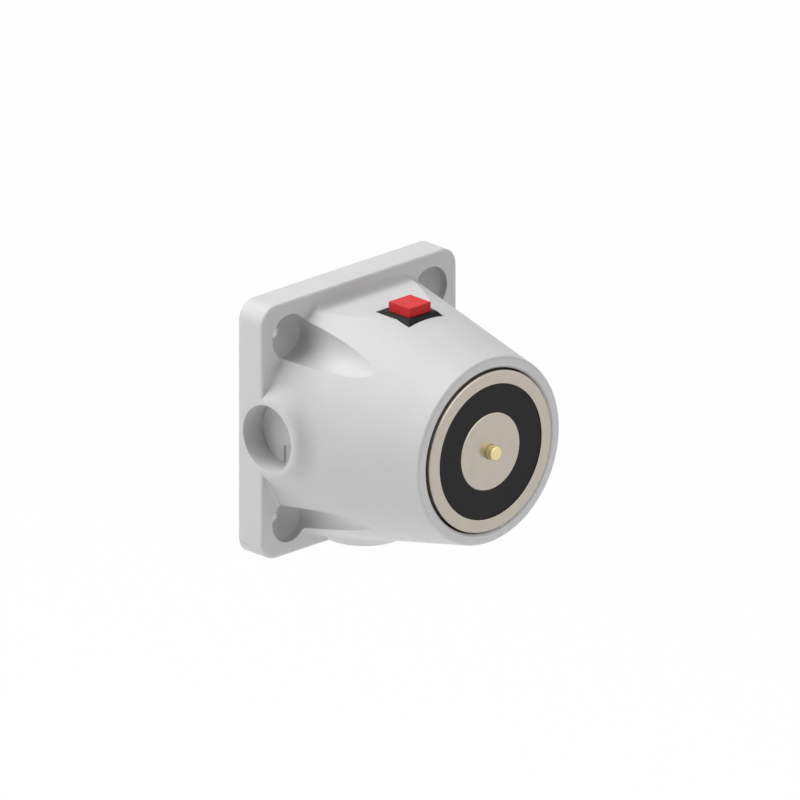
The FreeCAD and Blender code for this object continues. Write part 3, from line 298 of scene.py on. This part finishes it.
def rings_about_axis(finish, pitch_mm):
    """Height map of fine turning rings about the magnet's axis."""
    tree = finish.tree
    flat = node(tree, "ShaderNodeMapping", Scale=(1, 0, 1))
    finish.link(finish.place, flat.inputs["Vector"])
    length = node(tree, "ShaderNodeVectorMath", operation="LENGTH")
    finish.link(flat.outputs[0], length.inputs[0])
    scaled = node(tree, "ShaderNodeMath", operation="MULTIPLY")
    scaled.inputs[1].default_value = 1 / (pitch_mm * MM)
    finish.link(length.outputs["Value"], scaled.inputs[0])
    line = node(tree, "ShaderNodeTexNoise", Scale=1.0, Detail=2.0)
    line.noise_dimensions = "1D"
    finish.link(scaled.outputs[0], line.inputs["W"])
    return line.outputs["Fac"]


def metal(finish, lines, roughness):
    """Machining lines and slight cloudiness on a metal whose edges are already softened."""
    finish.paint(finish.noise(size_mm=4.0, detail=4.0), darker=0.97, lighter=1.03)
    finish.sheen_spread(lines, roughness - 0.015, roughness + 0.02)
    finish.bump(lines, height_mm=0.0003)
    return finish


def turned_metal(name, colour, roughness, ring_mm):
    """Metal with turning rings about the magnet's axis."""
    finish = Finish(name, colour, roughness, metallic=1.0)
    finish.soften_edges(0.08)
    return metal(finish, rings_about_axis(finish, ring_mm), roughness)


def drawn_metal(name, colour, roughness, lay):
    """Metal with fine lines along one direction."""
    finish = Finish(name, colour, roughness, metallic=1.0)
    finish.soften_edges(0.08)
    return metal(finish, finish.noise(size_mm=0.3, stretch=lay), roughness)


def laminate(name, colour):
    """Solder-resist green with faint tracks under it."""
    finish = Finish(name, colour, roughness=0.35)
    mapping = node(finish.tree, "ShaderNodeMapping", Rotation=(math.pi / 2, 0, 0))
    finish.link(finish.place, mapping.inputs["Vector"])
    tracks = node(finish.tree, "ShaderNodeTexBrick", Scale=TRACK_SCALE)
    finish.link(mapping.outputs[0], tracks.inputs["Vector"])
    finish.paint(tracks.outputs["Fac"], darker=1.0, lighter=1.35)
    finish.bump(tracks.outputs["Fac"], height_mm=0.03)
    finish.bump(finish.noise(size_mm=0.4), height_mm=0.003)
    return finish


def coiled_wire(name, colour):
    """Layers of enamelled wire, seen as fine rings along the magnet's axis."""
    finish = Finish(name, colour, roughness=0.3, metallic=1.0)
    scale = 2 * math.pi / (WIRE_PITCH * MM) / BANDS_PER_UNIT
    bands = node(finish.tree, "ShaderNodeTexWave", Scale=scale, bands_direction="Y")
    finish.link(finish.place, bands.inputs["Vector"])
    # Painted shade in the grooves between turns and painted highlight on their crests
    finish.paint(bands.outputs["Fac"], darker=0.7, lighter=1.1)
    finish.bump(bands.outputs["Fac"], height_mm=0.1)
    return finish


def insulation(name, colour):
    """Extruded wire insulation: smooth and slightly uneven."""
    finish = Finish(name, colour, roughness=0.38)
    finish.paint(finish.noise(size_mm=2.0), darker=0.94, lighter=1.06)
    finish.sheen_spread(finish.noise(size_mm=1.0), low=0.32, high=0.46)
    finish.bump(finish.noise(size_mm=0.5), height_mm=0.004)
    return finish


def resin(name, colour):
    """Cast potting resin: level, satin, with a slight skin."""
    finish = Finish(name, colour, roughness=0.55, specular=0.12)
    finish.paint(finish.noise(size_mm=6.0, detail=5.0), darker=0.95, lighter=1.05)
    finish.sheen_spread(finish.noise(size_mm=2.5, detail=4.0), low=0.50, high=0.60)
    finish.bump(finish.noise(size_mm=1.2), height_mm=0.006)
    return finish


# A maker and its settings for each material slot of the record
FINISHES = {
    "housing_plastic": (moulded, dict(colour=(0.58, 0.58, 0.58), roughness=0.50, edge_mm=0.3)),
    "pole_steel": (turned_metal, dict(colour=(0.45, 0.41, 0.355), roughness=0.25, ring_mm=0.10)),
    "white_plastic": (moulded, dict(colour=(0.80, 0.80, 0.77), roughness=0.45)),
    "copper_wire": (coiled_wire, dict(colour=(0.72, 0.36, 0.18))),
    "black_resin": (resin, dict(colour=(0.016, 0.016, 0.016))),
    "brass": (turned_metal, dict(colour=(0.66, 0.565, 0.29), roughness=0.36, ring_mm=0.08)),
    "spring_steel": (drawn_metal, dict(colour=(0.58, 0.58, 0.58), roughness=0.28, lay=(1, 6, 1))),
    "zinc_steel": (drawn_metal, dict(colour=(0.62, 0.64, 0.66), roughness=0.32, lay=(4, 1, 4))),
    "black_plastic": (moulded, dict(
        colour=(0.018, 0.018, 0.019), roughness=0.50, specular=0.08, edge_mm=0.12,
    )),
    "tinned_brass": (drawn_metal, dict(colour=(0.66, 0.64, 0.58), roughness=0.30, lay=(1, 5, 1))),
    "red_plastic": (moulded, dict(
        colour=(0.62, 0.036, 0.036), roughness=0.42, specular=0.08, edge_mm=0.12,
    )),
    "board_laminate": (laminate, dict(colour=(0.03, 0.17, 0.07))),
    "terminal_plastic": (moulded, dict(colour=(0.10, 0.30, 0.16), roughness=0.42)),
    "diode_body": (moulded, dict(colour=(0.02, 0.02, 0.02), roughness=0.35)),
    "black_insulation": (insulation, dict(colour=(0.02, 0.02, 0.02))),
    "red_insulation": (insulation, dict(colour=(0.45, 0.02, 0.015))),
}


def finish_nodes():
    """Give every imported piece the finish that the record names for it."""
    made = {}
    for entry in frame["record"]["subparts"]:
        slot = entry["material_slot"]
        if slot not in made:
            maker, settings = FINISHES[slot]
            made[slot] = maker(slot, **settings).material
        item = frame["nodes"][entry["node"]]
        item.data.materials.clear()
        item.data.materials.append(made[slot])
    return made


def turned_mesh(name, profile, centre):
    """A closed solid of revolution along the magnet's axis, from (radius, height) in mm."""
    shape = bmesh.new()
    rings = []
    for radius, height in profile:
        ring = []
        for step in range(CONE_FACETS):
            angle = 2 * math.pi * step / CONE_FACETS
            ring.append(shape.verts.new((
                centre[0] + radius * MM * math.cos(angle),
                centre[1] + height * MM,
                centre[2] + radius * MM * math.sin(angle),
            )))
        rings.append(ring)
    for lower, upper in zip(rings, rings[1:]):
        for step in range(CONE_FACETS):
            after = (step + 1) % CONE_FACETS
            shape.faces.new((lower[step], lower[after], upper[after], upper[step]))
    shape.faces.new(rings[0])
    shape.faces.new(rings[-1])
    bmesh.ops.recalc_face_normals(shape, faces=shape.faces)
    mesh = bpy.data.meshes.new(name)
    shape.to_mesh(mesh)
    shape.free()
    mesh.shade_smooth()
    return mesh


def make_solder_joints(material):
    """Solder cones where the switch leads and the diode's legs enter the board."""
    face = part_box("circuit_board")[1][1]
    spots = {}
    for side in ("left", "right"):
        low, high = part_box("switch_lead_" + side)
        spots["lead_" + side] = ((low[0] + high[0]) / 2, low[2] + LEAD_RADIUS * MM, LEAD_RADIUS)
    low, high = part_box("suppression_diode")
    middle = (low[2] + high[2]) / 2
    spots["diode_left"] = (low[0] + LEG_RADIUS * MM, middle, LEG_RADIUS)
    spots["diode_right"] = (high[0] - LEG_RADIUS * MM, middle, LEG_RADIUS)
    for spot, (x, z, radius) in spots.items():
        name = "solder_joint_" + spot
        profile = [(radius + growth, height) for growth, height in SOLDER_CONE]
        joint = bpy.data.objects.new(name, turned_mesh(name, profile, (x, face, z)))
        joint.data.materials.append(material)
        bpy.context.collection.objects.link(joint)
        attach(joint, "holder")


def make_springs(material):
    """Copies of the springs on the holder, in the given material; the imported ones are hidden."""
    for name, (joint, axis, travel) in SPRINGS.items():
        spring = frame["nodes"][name]
        coil = bpy.data.objects.new(name + "_coil", spring.data.copy())
        coil.matrix_world = spring.matrix_world
        bpy.context.collection.objects.link(coil)
        coil.data.materials.clear()
        coil.data.materials.append(material)
        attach(coil, "holder")
        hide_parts(name)
        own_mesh(coil)


make_camera()
make_world()
for lamp, (lamp_level, lamp_side, lamp_from) in LAMPS.items():
    add_lamp(lamp, lamp_level, lamp_side, lamp_from)
make_floor()
materials = finish_nodes()
make_solder_joints(materials["tinned_brass"])
make_springs(materials["spring_steel"])
bpy.context.scene.view_settings.view_transform = "Standard"
